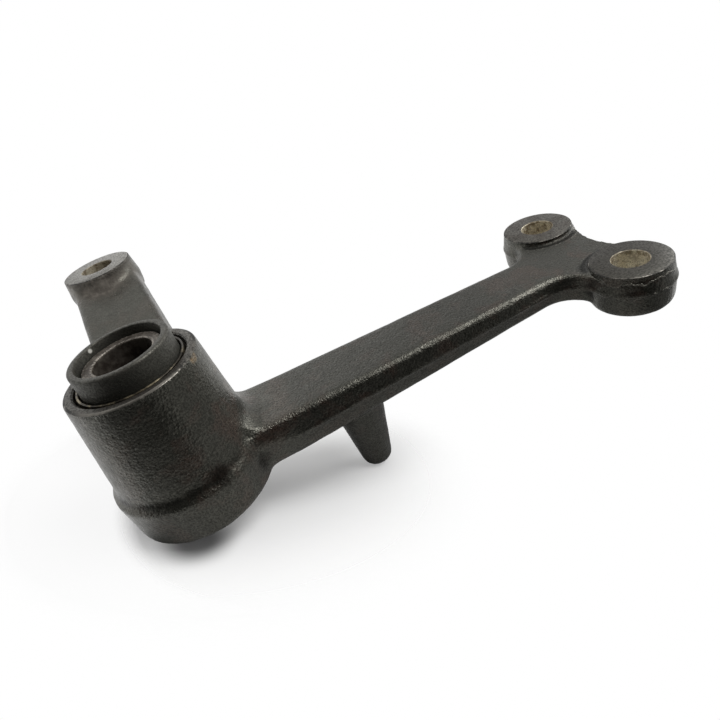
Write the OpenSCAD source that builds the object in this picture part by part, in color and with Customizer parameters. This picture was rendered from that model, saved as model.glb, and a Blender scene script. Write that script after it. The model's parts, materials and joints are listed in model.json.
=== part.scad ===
// Steering relay lever: one forged arm with a bushed pivot hub, a long arm with a forked end for two
// tie rods, a short raised arm for the drag link and a tapered stop peg under the long arm.
// The pivot axis is Z, the long arm runs along +X and Z = 0 is the forging's parting plane.

/* [Pivot] */
// Diameter of the shaft that the bushes run on
shaft_d = 23.8; // [20:0.1:28]
// Running clearance on that diameter
shaft_clearance = 0.06; // [0.02:0.01:0.15]
// Wall of each bush
bush_wall = 4.1; // [3:0.1:5]
// Length of each bush
bush_length = 28; // [20:1:32]
// How far the upper bush stands above the hub's upper face
bush_proud = 5.8; // [3:0.1:7]
// How far the lower bush sits inside the hub's lower face
bush_inset = 1; // [0:0.25:2]
// Gap left between pieces that are pressed together
press_gap = 0.02; // [0.01:0.01:0.05]

/* [Seals] */
// Depth of the seal seat in each end of the hub
seat_depth = 7; // [6:0.5:9]
// Gap between a bush and the rubber lip around it
lip_gap = 0.8; // [0.4:0.1:1]
// Thickness of the rubber lip at its foot
lip_wall = 3.5; // [3:0.1:4.5]
// Lean of the lip's outer wall in degrees
lip_lean = 6; // [2:0.5:8]
// Width of the open groove between the lip and its steel case
lip_groove = 0.6; // [0.4:0.1:1.2]
// Height of the upper lip above the hub's upper face
upper_lip = 9.3; // [8.5:0.1:11]
// How far the lower lip stands out of the hub's lower face
lower_lip = 1.5; // [1:0.1:3]
// Wall of the steel case that is pressed into the seat
case_wall = 1; // [0.8:0.1:1.6]
// Width of the open groove between the case's edge and its seat
case_groove = 1.1; // [0.6:0.1:1.6]
// How far the case's edge sits below the hub's face
case_drop = 0.3; // [0.2:0.1:1.5]

/* [Hub] */
// Width of the land around the seal seat on the hub's upper face
rim_wall = 4.1; // [3.5:0.1:6]
// Height of the hub's upper face above the parting plane
hub_top = 53; // [48:1:60]
// Depth of the hub's lower face below the parting plane
hub_foot = 15; // [14:0.5:18]
// Draft of the hub's upper wall in degrees
hub_draft = 5.4; // [4:0.2:7]
// Height of the drum's shoulder above the parting plane
drum_top = 7; // [5:0.5:8]
// How far the drum at the hub's foot stands out from the wall above it
drum_step = 2.4; // [1.5:0.1:4]
// Rounding of the hub's upper outer edge
hub_edge = 1.2; // [0.6:0.1:2]
// Rounding of the drum's lower edge
drum_edge = 2.5; // [1.5:0.1:3.5]
// Fillet between the hub's wall and the long arm's top
root_fillet = 10; // [6:0.5:12]
// Fillet in plan between the drum and the long arm's sides
side_fillet = 11; // [6:0.5:14]
// Length over which the long arm's parting ridge climbs to the drum's shoulder
ridge_run = 15; // [8:0.5:24]

/* [Long arm] */
// Distance from the pivot to the tie rod holes along the arm
tie_reach = 215; // [190:1:240]
// Distance between the two tie rod holes
tie_spacing = 64.4; // [58:0.2:72]
// Width of the arm at the pivot
arm_root_w = 42.5; // [38:0.5:46]
// Width of the arm where the fork starts
arm_tip_w = 32.8; // [28:0.2:36]
// Height of the arm's top above the parting plane at the pivot
arm_root_top = 11.2; // [9.5:0.1:13]
// Height of the arm's top at the fork
arm_tip_top = 6.2; // [5.5:0.1:7.5]
// Depth of the arm's underside below the parting plane at the pivot
arm_root_foot = 12; // [10.5:0.1:13]
// Depth of the arm's underside at the fork
arm_tip_foot = 8.4; // [7:0.1:10]
// Rounding of the arms' long edges
arm_edge = 4; // [2.5:0.1:4.5]
// Draft of the forged side walls in degrees
forge_draft = 7; // [4:0.5:9]
// Radius of the hollow curve between the two tie rod bosses
neck_r = 37; // [25:1:60]

/* [Link bosses] */
// Diameter of the link holes
link_hole_d = 16.4; // [14:0.1:18]
// Chamfer at both mouths of a link hole
hole_chamfer = 0.4; // [0.2:0.1:1.5]
// Wall between a link hole and the edge of its machined face
boss_wall = 9.8; // [8:0.1:11]
// How far a boss bulges at its parting line
boss_bulge = 1.2; // [0.6:0.1:1.8]
// Height of the tie rod bosses above the parting plane
tie_boss_top = 8.8; // [8:0.1:11]
// Depth of the tie rod bosses below the parting plane
tie_boss_foot = 12.6; // [10.5:0.1:14]
// Edge break of a boss's machined face
boss_edge = 0.7; // [0.4:0.1:1.2]
// Rounding of a boss's lower edge
foot_edge = 4; // [2:0.1:5]

/* [Short arm] */
// Distance from the pivot to the drag link hole
drag_reach = 110.6; // [95:0.2:125]
// Angle from the long arm to the short arm in degrees
drag_angle = 93.5; // [80:0.5:105]
// Height of the drag link boss's upper face above the parting plane
drag_top = 64.8; // [58:0.2:72]
// Thickness of the drag link boss
drag_boss_t = 19.5; // [17:0.1:24]
// Step from the boss's upper face down to the arm's top
drag_step = 1; // [0.8:0.1:3]
// Fillet between the boss's front and the arm's top
drag_fillet_r = 6.5; // [3:0.5:8]
// Thickness of the short arm at the boss
short_tip_t = 15.6; // [13:0.1:17]
// Thickness of the short arm at the pivot axis
short_root_t = 23.2; // [19:0.2:28]
// Share of the short arm's thickness that lies above its parting ridge
short_upper = 0.57; // [0.45:0.01:0.65]
// Slope of the short arm's top in degrees
short_slope = 20.8; // [16:0.2:25]
// Width of the short arm at the boss
short_tip_w = 35; // [31:0.2:36]
// Width of the short arm at the pivot axis
short_root_w = 44; // [40:0.5:50]

/* [Stop peg] */
// Distance from the pivot to the stop peg
peg_x = 78.3; // [65:0.5:100]
// Diameter of the peg at the parting plane
peg_root_d = 29; // [24:0.2:31]
// Diameter of the peg at its tip, before the rounding
peg_tip_d = 15.6; // [13:0.2:18]
// Depth of the peg's tip below the parting plane
peg_foot = 52.5; // [40:0.5:64]
// Rounding of the peg's tip
peg_edge = 4; // [2:0.1:5]

/* [Hidden] */
$fn = 96;
cut = 1;
arc_steps = 4;
flare_steps = 7;
root_steps = 9;
fillet_sink = 0.2;

bore_r = (shaft_d + shaft_clearance) / 2;
bush_r = bore_r + bush_wall;
bush_chamfer = bush_wall / 8;
lip_in_r = bush_r + lip_gap;
lip_out_r = lip_in_r + lip_wall;
case_in_r = lip_out_r + lip_groove;
case_edge_r = case_in_r + case_wall;
case_out_r = case_edge_r + case_groove;
seat_r = case_out_r + press_gap;
seat_chamfer = case_groove / 2;
hub_r = seat_r + rim_wall;
boss_r = link_hole_d / 2 + boss_wall;
bulge_r = boss_r + boss_bulge;
lip_round = lip_wall / 3;
lip_base = (seat_depth - case_wall) / 2;

// Radius of the hub's drafted wall at a height
function hub_wall(z) = hub_r + (hub_top - z) * tan(hub_draft);

drum_r = hub_wall(drum_top) + drum_step;
drum_foot_r = drum_r - (drum_top + hub_foot) * tan(hub_draft) / 2;

// Points of an arc from one angle to another
function arc(x, y, r, from, to) =
    [for (i = [0 : arc_steps]) let (a = from + (to - from) * i / arc_steps) [x + r * cos(a), y + r * sin(a)]];

// Cross-section of a forged arm: two drafted halves that meet in a ridge at the parting height
function section(half, top, part, foot) =
    let (upper = half - (top - part) * tan(forge_draft) - arm_edge)
    let (lower = half - (part - foot) * tan(forge_draft) - arm_edge)
    concat([[half, part]],
           arc(upper, top - arm_edge, arm_edge, 0, 90),
           arc(-upper, top - arm_edge, arm_edge, 90, 180),
           [[-half, part]],
           arc(-lower, foot + arm_edge, arm_edge, 180, 270),
           arc(lower, foot + arm_edge, arm_edge, 270, 360));

// Closed solid through a list of [x, section] stations
module loft(stations) {
    n = len(stations[0][1]);
    last = len(stations) - 1;
    points = [for (s = stations) for (p = s[1]) [s[0], p[0], p[1]]];
    walls = [for (i = [0 : last - 1]) for (j = [0 : n - 1])
             let (a = i * n + j, b = i * n + (j + 1) % n)
             each [[a, a + n, b], [b, a + n, b + n]]];
    start = [for (j = [0 : n - 1]) j];
    end = [for (j = [n - 1 : -1 : 0]) last * n + j];
    polyhedron(points, concat([start, end], walls), convexity = 4);
}

// Long arm and the web of its fork
fork_half = tie_spacing / 2;
flare_r = fork_half - arm_tip_w / 2;
flare_end = tie_reach - boss_r;
flare_start = flare_end - flare_r;
neck_x = tie_reach + sqrt(pow(neck_r + bulge_r, 2) - pow(fork_half, 2));
web_end = tie_reach + (neck_x - tie_reach) * bulge_r / (neck_r + bulge_r);

// Where the arm's sides run out onto the drum
root_y = arm_root_w / 2 + side_fillet;
root_x = sqrt(pow(drum_r + side_fillet, 2) - pow(root_y, 2));
root_start = root_x * drum_r / (drum_r + side_fillet);
root_end = root_x + ridge_run;

function mix(a, b, t) = a + (b - a) * t;
function ease(t) = t * t * (3 - 2 * t);
function along(x) = min(1, max(0, x / flare_start));
function arm_half(x) = mix(arm_root_w, arm_tip_w, along(x)) / 2;
function arm_top(x) = mix(arm_root_top, arm_tip_top, along(x));
function arm_foot(x) = -mix(arm_root_foot, arm_tip_foot, along(x));

// Height of the arm's parting ridge, which climbs to the drum's shoulder below the arm's rounded top edge
function arm_part(x) =
    min(drum_top - drum_step, arm_top(x) - arm_edge) * (1 - ease(min(1, max(0, (x - root_x) / ridge_run))));

// How far the arm's sides spread in the fillet at the drum
function root_spread(x) = side_fillet - sqrt(pow(side_fillet, 2) - pow(max(0, root_x - x), 2));

function arm_section(x, half) = section(half, arm_top(x), arm_part(x), arm_foot(x));

module long_arm() {
    root = [for (i = [0 : root_steps]) let (x = mix(root_start, root_end, i / root_steps))
            [x, arm_section(x, arm_half(x) + root_spread(x))]];
    straight = [for (t = [0.25 : 0.25 : 1]) let (x = mix(root_end, flare_start, t))
                [x, arm_section(x, arm_half(x))]];
    flare = [for (i = [1 : flare_steps]) let (a = 90 * i / flare_steps, x = flare_start + flare_r * sin(a))
             [x, arm_section(x, fork_half - flare_r * cos(a))]];
    web = [[web_end, arm_section(web_end, fork_half)]];
    difference() {
        loft(concat([[0, root[0][1]]], root, straight, flare, web));
        translate([neck_x, 0, -hub_foot])
            cylinder(r = neck_r, h = hub_foot + hub_top);
    }
}

// Hub with a drafted wall on a wider drum
module hub() {
    foot_r = drum_foot_r - drum_edge;
    top_r = hub_r - hub_edge;
    rotate_extrude()
        polygon(concat([[0, -hub_foot]],
                       arc(foot_r, drum_edge - hub_foot, drum_edge, -90, 0),
                       arc(drum_r - drum_step, drum_top - drum_step, drum_step, 0, 90),
                       arc(top_r, hub_top - hub_edge, hub_edge, 0, 90),
                       [[0, hub_top]]));
}

// Fillet from the hub's wall down into the long arm's top, just inside the arm's sides
module hub_root_fillet() {
    wall_r = hub_wall(arm_root_top + root_fillet);
    end_x = wall_r + root_fillet;
    base = arm_top(end_x) - fillet_sink;
    crest = base + root_fillet;
    function wedge(x) =
        let (half = arm_half(x) - arm_edge / 2)
        let (upper = half - crest * tan(forge_draft))
        [[half, 0], [upper, crest], [-upper, crest], [-half, 0]];
    intersection() {
        rotate_extrude()
            difference() {
                square([end_x, crest]);
                translate([end_x, crest])
                    circle(r = root_fillet);
            }
        loft([for (x = [0, end_x + cut]) [x, wedge(x)]]);
    }
}

// Link boss: drafted from its machined face out to the parting height, with a rounded foot
module boss(top, part, foot) {
    foot_r = bulge_r - boss_bulge / 2 - foot_edge;
    rotate_extrude()
        polygon(concat([[0, foot]],
                       arc(foot_r, foot + foot_edge, foot_edge, -90, 0),
                       [[bulge_r, part], [boss_r, top - boss_edge], [boss_r - boss_edge, top], [0, top]]));
}

// Link hole with a chamfer at each mouth
module link_hole(top, foot) {
    mouth_r = link_hole_d / 2 + hole_chamfer;
    translate([0, 0, foot - cut])
        cylinder(d = link_hole_d, h = top - foot + 2 * cut);
    translate([0, 0, top - hole_chamfer])
        cylinder(r1 = link_hole_d / 2, r2 = mouth_r + cut, h = hole_chamfer + cut);
    translate([0, 0, foot - cut])
        cylinder(r1 = mouth_r + cut, r2 = link_hole_d / 2, h = hole_chamfer + cut);
}

module at_tie_holes() {
    for (side = [-1, 1])
        translate([tie_reach, side * fork_half, 0])
            children();
}

module at_drag_hole() {
    rotate(drag_angle)
        translate([drag_reach, 0, 0])
            children();
}

// Short arm that climbs from the hub to the drag link boss
drag_foot = drag_top - drag_boss_t;
drag_part = drag_top - drag_boss_t / 2;

// How far the short arm spreads on its way into the hub
short_start = hub_r * 0.6;
function spread(x) = pow(max(0, hub_r + root_fillet - x), 2) / (4 * root_fillet);

function short_section(x) =
    let (t = x / drag_reach)
    let (top = drag_top - drag_step - (drag_reach - x) * tan(short_slope))
    let (thick = mix(short_root_t, short_tip_t, t))
    section(mix(short_root_w, short_tip_w, t) / 2 + spread(x) / 4,
            top + spread(x), top - thick * short_upper, top - thick - spread(x));

module short_arm() {
    bend = hub_r + root_fillet;
    stations = concat([for (i = [0 : flare_steps]) mix(short_start, bend, i / flare_steps)], [drag_reach]);
    rotate(drag_angle)
        loft([for (x = stations) [x, short_section(x)]]);
}

// Fillet from the drag link boss down to the short arm's sloping top, just inside the arm's sides
module drag_fillet() {
    lean = atan(boss_bulge / (drag_boss_t / 2 - boss_edge));
    slope_rise = drag_fillet_r / cos(short_slope);
    wall_run = drag_fillet_r / cos(lean) + (drag_step - boss_edge - slope_rise) * tan(lean);
    centre_r = (boss_r + wall_run) / (1 - tan(short_slope) * tan(lean));
    centre_z = drag_top - drag_step - centre_r * tan(short_slope) + slope_rise;
    end_r = centre_r - drag_fillet_r * sin(short_slope);
    width = short_tip_w - arm_edge;
    height = centre_z - drag_fillet_r * sin(lean) - drag_part;
    intersection() {
        at_drag_hole()
            translate([0, 0, drag_part])
                rotate_extrude()
                    difference() {
                        square([end_r, height]);
                        translate([centre_r, centre_z - drag_part])
                            circle(r = drag_fillet_r);
                    }
        rotate(drag_angle)
            translate([drag_reach - end_r, -width / 2, drag_part])
                cube([end_r, width, height]);
    }
}

// Tapered stop peg with a rounded tip
module stop_peg() {
    tip_r = peg_tip_d / 2;
    translate([peg_x, 0, 0])
        rotate_extrude()
            polygon(concat([[0, 0], [0, -peg_foot]],
                           arc(tip_r - peg_edge, peg_edge - peg_foot, peg_edge, -90, 0),
                           [[peg_root_d / 2, 0]]));
}

// Bore for the bushes with a chamfered seal seat at each end
module hub_bore() {
    height = hub_top + hub_foot;
    translate([0, 0, -hub_foot - cut])
        cylinder(r = bush_r + press_gap, h = height + 2 * cut);
    translate([0, 0, hub_top - seat_depth])
        seal_seat();
    mirror([0, 0, 1])
        translate([0, 0, hub_foot - seat_depth])
            seal_seat();
}

module seal_seat() {
    cylinder(r = seat_r, h = seat_depth + cut);
    translate([0, 0, seat_depth - seat_chamfer])
        cylinder(r1 = seat_r, r2 = seat_r + seat_chamfer + cut, h = seat_chamfer + cut);
}

module arm_forging() {
    color([0.17, 0.16, 0.15])
        difference() {
            union() {
                hub();
                long_arm();
                hub_root_fillet();
                stop_peg();
                at_tie_holes()
                    boss(tie_boss_top, 0, -tie_boss_foot);
                short_arm();
                drag_fillet();
                at_drag_hole()
                    boss(drag_top, drag_part, drag_foot);
            }
            hub_bore();
            at_tie_holes()
                link_hole(tie_boss_top, -tie_boss_foot);
            at_drag_hole()
                link_hole(drag_top, drag_foot);
        }
}

// Plain bush with a chamfer at both ends of its bore
module bush(foot) {
    translate([0, 0, foot])
        rotate_extrude()
            polygon([[bore_r + bush_chamfer, 0], [bush_r, 0], [bush_r, bush_length],
                     [bore_r + bush_chamfer, bush_length], [bore_r, bush_length - bush_chamfer],
                     [bore_r, bush_chamfer]]);
}

module upper_bush() {
    color([0.35, 0.29, 0.22])
        bush(hub_top + bush_proud - bush_length);
}

module lower_bush() {
    color([0.35, 0.29, 0.22])
        bush(bush_inset - hub_foot);
}

// Steel case: a cup with an open middle, pressed in by the band around its foot
module seal_case() {
    floor_r = lip_in_r + lip_wall / 2;
    edge = seat_depth - case_drop;
    band = seat_depth / 2;
    rotate_extrude()
        polygon([[floor_r, 0], [case_out_r, 0], [case_out_r, band], [case_edge_r, band],
                 [case_edge_r, edge], [case_in_r, edge], [case_in_r, case_wall], [floor_r, case_wall]]);
}

// Rubber lip: a foot that fills the case and a leaning ring that stands out of it
module seal_lip(height) {
    foot_r = case_in_r - press_gap;
    ledge = case_wall + lip_base;
    crown = seat_depth + height;
    crown_r = lip_out_r - (crown - ledge) * tan(lip_lean);
    inner_round = lip_round / 2;
    rotate_extrude()
        polygon(concat([[lip_in_r, case_wall + press_gap], [foot_r, case_wall + press_gap],
                        [foot_r, ledge], [lip_out_r, ledge]],
                       arc(crown_r - lip_round, crown - lip_round, lip_round, 0, 90),
                       arc(lip_in_r + inner_round, crown - inner_round, inner_round, 90, 180)));
}

module at_upper_seat() {
    translate([0, 0, hub_top - seat_depth])
        children();
}

module at_lower_seat() {
    mirror([0, 0, 1])
        translate([0, 0, hub_foot - seat_depth])
            children();
}

module upper_seal_case() {
    color([0.55, 0.53, 0.48])
        at_upper_seat()
            seal_case();
}

module upper_seal_lip() {
    color([0.15, 0.16, 0.15])
        at_upper_seat()
            seal_lip(upper_lip);
}

module lower_seal_case() {
    color([0.55, 0.53, 0.48])
        at_lower_seat()
            seal_case();
}

module lower_seal_lip() {
    color([0.15, 0.16, 0.15])
        at_lower_seat()
            seal_lip(lower_lip);
}

arm_forging();
upper_bush();
lower_bush();
upper_seal_case();
upper_seal_lip();
lower_seal_case();
lower_seal_lip();
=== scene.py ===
import json
import math
import bmesh
import bpy
import numpy as np
from mathutils import Matrix, Vector


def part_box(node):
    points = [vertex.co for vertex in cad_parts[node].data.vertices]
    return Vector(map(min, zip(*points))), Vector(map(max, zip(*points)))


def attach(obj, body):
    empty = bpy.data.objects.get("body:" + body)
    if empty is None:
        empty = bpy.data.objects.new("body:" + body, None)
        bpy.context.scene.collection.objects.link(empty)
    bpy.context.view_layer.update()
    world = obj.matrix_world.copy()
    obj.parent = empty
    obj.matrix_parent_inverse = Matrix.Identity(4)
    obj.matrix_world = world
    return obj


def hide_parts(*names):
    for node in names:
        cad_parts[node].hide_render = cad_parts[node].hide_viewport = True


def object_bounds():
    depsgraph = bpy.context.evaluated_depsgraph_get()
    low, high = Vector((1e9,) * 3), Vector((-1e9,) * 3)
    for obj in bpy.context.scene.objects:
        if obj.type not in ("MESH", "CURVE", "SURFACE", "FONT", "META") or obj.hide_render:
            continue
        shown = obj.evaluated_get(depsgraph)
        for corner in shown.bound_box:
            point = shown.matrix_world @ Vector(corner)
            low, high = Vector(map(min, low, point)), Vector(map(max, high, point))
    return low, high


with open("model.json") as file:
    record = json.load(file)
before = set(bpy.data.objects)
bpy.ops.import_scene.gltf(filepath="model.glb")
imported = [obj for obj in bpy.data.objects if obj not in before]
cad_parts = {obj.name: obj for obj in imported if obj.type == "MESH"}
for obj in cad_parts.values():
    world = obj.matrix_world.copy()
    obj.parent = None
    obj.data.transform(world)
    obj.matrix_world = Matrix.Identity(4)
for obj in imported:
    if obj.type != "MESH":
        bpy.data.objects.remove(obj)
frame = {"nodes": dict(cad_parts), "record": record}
cadLow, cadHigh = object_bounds()
scene = bpy.context.scene
mm = 0.001
mounts = {m["name"]: m for m in frame["record"]["mounts"]}
boreRadius = mounts["pivot_bore"]["dims"]["r_mm"] * mm
print("frame:", len(frame["nodes"]), "nodes, box", [round(v / mm, 1) for v in cadHigh - cadLow], "mm")


# small tools

def addPiece(name, mesh):
    piece = bpy.data.objects.new(name, mesh)
    scene.collection.objects.link(piece)
    return piece


def settle(piece):  # the evaluated modifiers become the piece's own plain mesh
    graph = bpy.context.evaluated_depsgraph_get()
    mesh = bpy.data.meshes.new_from_object(piece.evaluated_get(graph), depsgraph=graph)
    piece.modifiers.clear()
    old = piece.data
    piece.data = mesh
    mesh.name = piece.name
    bpy.data.meshes.remove(old)
    return piece


def meshPoints(mesh):
    flat = np.empty(len(mesh.vertices) * 3, np.float32)
    mesh.vertices.foreach_get("co", flat)
    return flat.reshape(-1, 3).astype(float)


def setPoints(mesh, points):
    mesh.vertices.foreach_set("co", points.astype(np.float32).ravel())
    mesh.update()


def storeValue(mesh, name, values):
    layer = mesh.attributes.get(name) or mesh.attributes.new(name, "FLOAT", "POINT")
    layer.data.foreach_set("value", values.astype(np.float32))


def tidyShell(mesh, gap):  # doubles merged, then faces turned outwards
    work = bmesh.new()
    work.from_mesh(mesh)
    bmesh.ops.remove_doubles(work, verts=work.verts, dist=gap)
    bmesh.ops.recalc_face_normals(work, faces=work.faces)
    work.to_mesh(mesh)
    work.free()


def smoothExcept(mesh, degrees):  # smooth shading with sharp edges past an angle
    mesh.polygons.foreach_set("use_smooth", [True] * len(mesh.polygons))
    mesh.set_sharp_from_angle(angle=math.radians(degrees))


def ringPoints(node):  # distance from the pivot axis and height of a node's CAD points
    points = meshPoints(frame["nodes"][node].data)
    return np.hypot(points[:, 0], points[:, 1]), points[:, 2]


# finishes: a grain is (size, detail, roughness, warp), a ramp is (low, high, start, end)

sheen = (1.0, 0.98, 0.84, 1.0)  # the oiled skin's slightly warm gloss


def newFinish(name):
    finish = bpy.data.materials.new(name)
    finish.use_nodes = True
    tree = finish.node_tree
    place = tree.nodes.new("ShaderNodeTexCoord").outputs["Object"]
    return finish, tree, tree.nodes["Principled BSDF"], place


def grain(tree, place, size, detail, rough, warp=0.0):
    texture = tree.nodes.new("ShaderNodeTexNoise")
    texture.inputs["Scale"].default_value = 1 / size
    texture.inputs["Detail"].default_value = detail
    texture.inputs["Roughness"].default_value = rough
    texture.inputs["Distortion"].default_value = warp
    tree.links.new(place, texture.inputs["Vector"])
    return texture.outputs["Fac"]


def cells(tree, place, size):
    texture = tree.nodes.new("ShaderNodeTexVoronoi")
    texture.inputs["Scale"].default_value = 1 / size
    tree.links.new(place, texture.inputs["Vector"])
    return texture.outputs["Distance"]


def stretched(tree, place, scale, shift=(0, 0, 0)):
    mapping = tree.nodes.new("ShaderNodeMapping")
    mapping.inputs["Scale"].default_value = scale
    mapping.inputs["Location"].default_value = shift
    tree.links.new(place, mapping.inputs["Vector"])
    return mapping.outputs["Vector"]


def ramp(tree, value, low, high, start=0.0, end=1.0):
    node = tree.nodes.new("ShaderNodeMapRange")
    node.interpolation_type = "SMOOTHSTEP"
    tree.links.new(value, node.inputs["Value"])
    for socket, number in (("From Min", low), ("From Max", high), ("To Min", start), ("To Max", end)):
        node.inputs[socket].default_value = number
    return node.outputs["Result"]


def blendColor(tree, factor, first, second):
    node = tree.nodes.new("ShaderNodeMix")
    node.data_type = "RGBA"
    tree.links.new(factor, node.inputs["Factor"])
    for socket, color in ((node.inputs["A"], first), (node.inputs["B"], second)):
        if isinstance(color, tuple):
            socket.default_value = (*color, 1)
        else:
            tree.links.new(color, socket)
    return node.outputs["Result"]


def sums(tree, how, first, second):
    node = tree.nodes.new("ShaderNodeMath")
    node.operation = how
    for socket, value in zip(node.inputs, (first, second)):
        if isinstance(value, (int, float)):
            socket.default_value = value
        else:
            tree.links.new(value, socket)
    return node.outputs["Value"]


def attribute(tree, name):
    node = tree.nodes.new("ShaderNodeAttribute")
    node.attribute_name = name
    return node.outputs["Fac"]


def relief(tree, height, depth, under=None):
    node = tree.nodes.new("ShaderNodeBump")
    node.inputs["Distance"].default_value = depth
    tree.links.new(height, node.inputs["Height"])
    if under is not None:
        tree.links.new(under, node.inputs["Normal"])
    return node.outputs["Normal"]


def nearSpot(tree, place, spot, reach, core=0.5):  # 1 in the core of a spot, 0 beyond its reach
    gap = tree.nodes.new("ShaderNodeVectorMath")
    gap.operation = "DISTANCE"
    gap.inputs[1].default_value = spot
    tree.links.new(place, gap.inputs[0])
    return ramp(tree, gap.outputs["Value"], reach * core, reach, 1.0, 0.0)


def axes(tree, place):  # X, Y and Z of a place, each by its name
    parts = tree.nodes.new("ShaderNodeSeparateXYZ")
    tree.links.new(place, parts.inputs["Vector"])
    return parts.outputs


def axisRadius(tree, place):  # distance from the pivot axis
    squash, reach = (tree.nodes.new("ShaderNodeVectorMath") for _ in range(2))
    squash.operation, reach.operation = "MULTIPLY", "LENGTH"
    squash.inputs[1].default_value = (1, 1, 0)
    tree.links.new(place, squash.inputs[0])
    tree.links.new(squash.outputs["Vector"], reach.inputs[0])
    return reach.outputs["Value"]


def axisLines(tree, place, size):  # fine rings about the pivot axis
    lines = tree.nodes.new("ShaderNodeTexNoise")
    lines.noise_dimensions = "1D"
    lines.inputs["Scale"].default_value = 1 / size
    tree.links.new(axisRadius(tree, place), lines.inputs["W"])
    return lines.outputs["Fac"]


def forgedScale():
    look = dict(cool=(0.0150, 0.0148, 0.0120), warm=(0.034, 0.019, 0.0145), deep=(0.006, 0.006, 0.0048),
                wornAndGlint=(0.055, 0.052, 0.046), ledge=(0.30, 0.272, 0.236), rust=(0.16, 0.105, 0.05),
                shadeColor=(0.003, 0.003, 0.0025), trimmed=(0.16, 0.145, 0.125),
                patch=(14 * mm, 4, 0.6, 0.4), mottle=(4.2 * mm, 5, 0.65), grit=(0.7 * mm, 2, 0.6),
                pebble=1.2 * mm, warmPatch=(0.47, 0.62), deepMottle=(0.38, 0.68, 0.0, 0.4),
                deepGrit=(0.42, 0.62, 0.0, 0.6), shadeShare=0.8,
                trimLines=(5.3 * mm, -1.2 * mm), trimGrain=(6 * mm, 3, 0.6),
                trimWander=(0.3, 0.7, -1.1 * mm, 1.1 * mm), trimEdge=(0.1 * mm, 0.7 * mm, 1.0, 0.0),
                trimPatch=(0.56, 0.42), wornGrit=(0.5, 0.36), ledgePatch=(0.7, 0.3, 0.4, 1.0),
                rustSpot=(24.2 * mm, -13.9 * mm, 52.0 * mm), rustReach=3.4 * mm, rustPatch=(0.62, 0.4),
                rough=(0.3, 0.7, 0.26, 0.38), wornSmooth=0.1, gloss=0.92,
                glossGrit=(0.36, 0.64, -0.34, 0.34), shadeGloss=(0.0, 1.0, 1.0, 0.2),
                ledgeGloss=(0.0, 0.4, 1.0, 0.35), edgeGrit=5.0,
                mottleDepth=0.22 * mm, pebbleDepth=0.12 * mm, gritDepth=0.12 * mm, trimDepth=0.5 * mm)
    finish, tree, shader, place = newFinish("forgedScale")
    mottle = grain(tree, place, *look["mottle"])
    grit = grain(tree, place, *look["grit"])
    pebble = cells(tree, place, look["pebble"])
    skin, paintedShade, edge = (attribute(tree, name) for name in ("skinGrain", "paintedShade", "edgeWearAndGlint"))
    warm = ramp(tree, grain(tree, place, *look["patch"]), *look["warmPatch"])
    color = blendColor(tree, sums(tree, "MULTIPLY", warm, skin), look["cool"], look["warm"])
    color = blendColor(tree, ramp(tree, mottle, *look["deepMottle"]), color, look["deep"])
    color = blendColor(tree, ramp(tree, grit, *look["deepGrit"]), color, look["deep"])
    # painted shade: darker and less glossy in the drum's shoulder, along the arm and under the drag link
    # boss's rim
    color = blendColor(tree, sums(tree, "MULTIPLY", paintedShade, look["shadeShare"]), color, look["shadeColor"])
    ragged = ramp(tree, grain(tree, place, *look["trimGrain"]), *look["trimWander"])
    level = sums(tree, "ADD", axes(tree, place)["Z"], ragged)
    gaps = [sums(tree, "ABSOLUTE", sums(tree, "SUBTRACT", level, line), 0.0) for line in look["trimLines"]]
    trim = ramp(tree, sums(tree, "MINIMUM", *gaps), *look["trimEdge"])
    trim = sums(tree, "MULTIPLY", trim, attribute(tree, "forkSide"))
    torn = sums(tree, "MULTIPLY", trim, ramp(tree, mottle, *look["trimPatch"]))
    color = blendColor(tree, torn, color, look["trimmed"])
    # worn edges, lightened also as painted glints along the crests
    wornAndGlint = sums(tree, "MULTIPLY", edge, ramp(tree, grit, *look["wornGrit"]))
    color = blendColor(tree, wornAndGlint, color, look["wornAndGlint"])
    # painted light on the front wall and ledge of the drag link boss, with less gloss there
    ledge = sums(tree, "MULTIPLY", attribute(tree, "ledgeLight"), ramp(tree, mottle, *look["ledgePatch"]))
    color = blendColor(tree, ledge, color, look["ledge"])
    rust = nearSpot(tree, place, look["rustSpot"], look["rustReach"])
    rust = sums(tree, "MULTIPLY", rust, ramp(tree, mottle, *look["rustPatch"]))
    tree.links.new(blendColor(tree, rust, color, look["rust"]), shader.inputs["Base Color"])
    rough = ramp(tree, mottle, *look["rough"])
    rough = sums(tree, "SUBTRACT", rough, sums(tree, "MULTIPLY", wornAndGlint, look["wornSmooth"]))
    tree.links.new(rough, shader.inputs["Roughness"])
    dull = sums(tree, "MULTIPLY", ramp(tree, grit, *look["glossGrit"]), skin)
    gloss = sums(tree, "SUBTRACT", look["gloss"], dull)
    gloss = sums(tree, "MULTIPLY", gloss, ramp(tree, paintedShade, *look["shadeGloss"]))
    gloss = sums(tree, "MULTIPLY", gloss, ramp(tree, ledge, *look["ledgeGloss"]))
    tree.links.new(gloss, shader.inputs["Specular IOR Level"])
    shader.inputs["Specular Tint"].default_value = sheen
    bumpy = relief(tree, trim, look["trimDepth"], relief(tree, mottle, look["mottleDepth"]))
    bumpy = relief(tree, sums(tree, "MULTIPLY", pebble, skin), look["pebbleDepth"], bumpy)
    sharper = sums(tree, "ADD", skin, sums(tree, "MULTIPLY", edge, look["edgeGrit"]))
    bumpy = relief(tree, sums(tree, "MULTIPLY", grit, sharper), look["gritDepth"], bumpy)
    tree.links.new(bumpy, shader.inputs["Normal"])
    return finish


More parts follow.
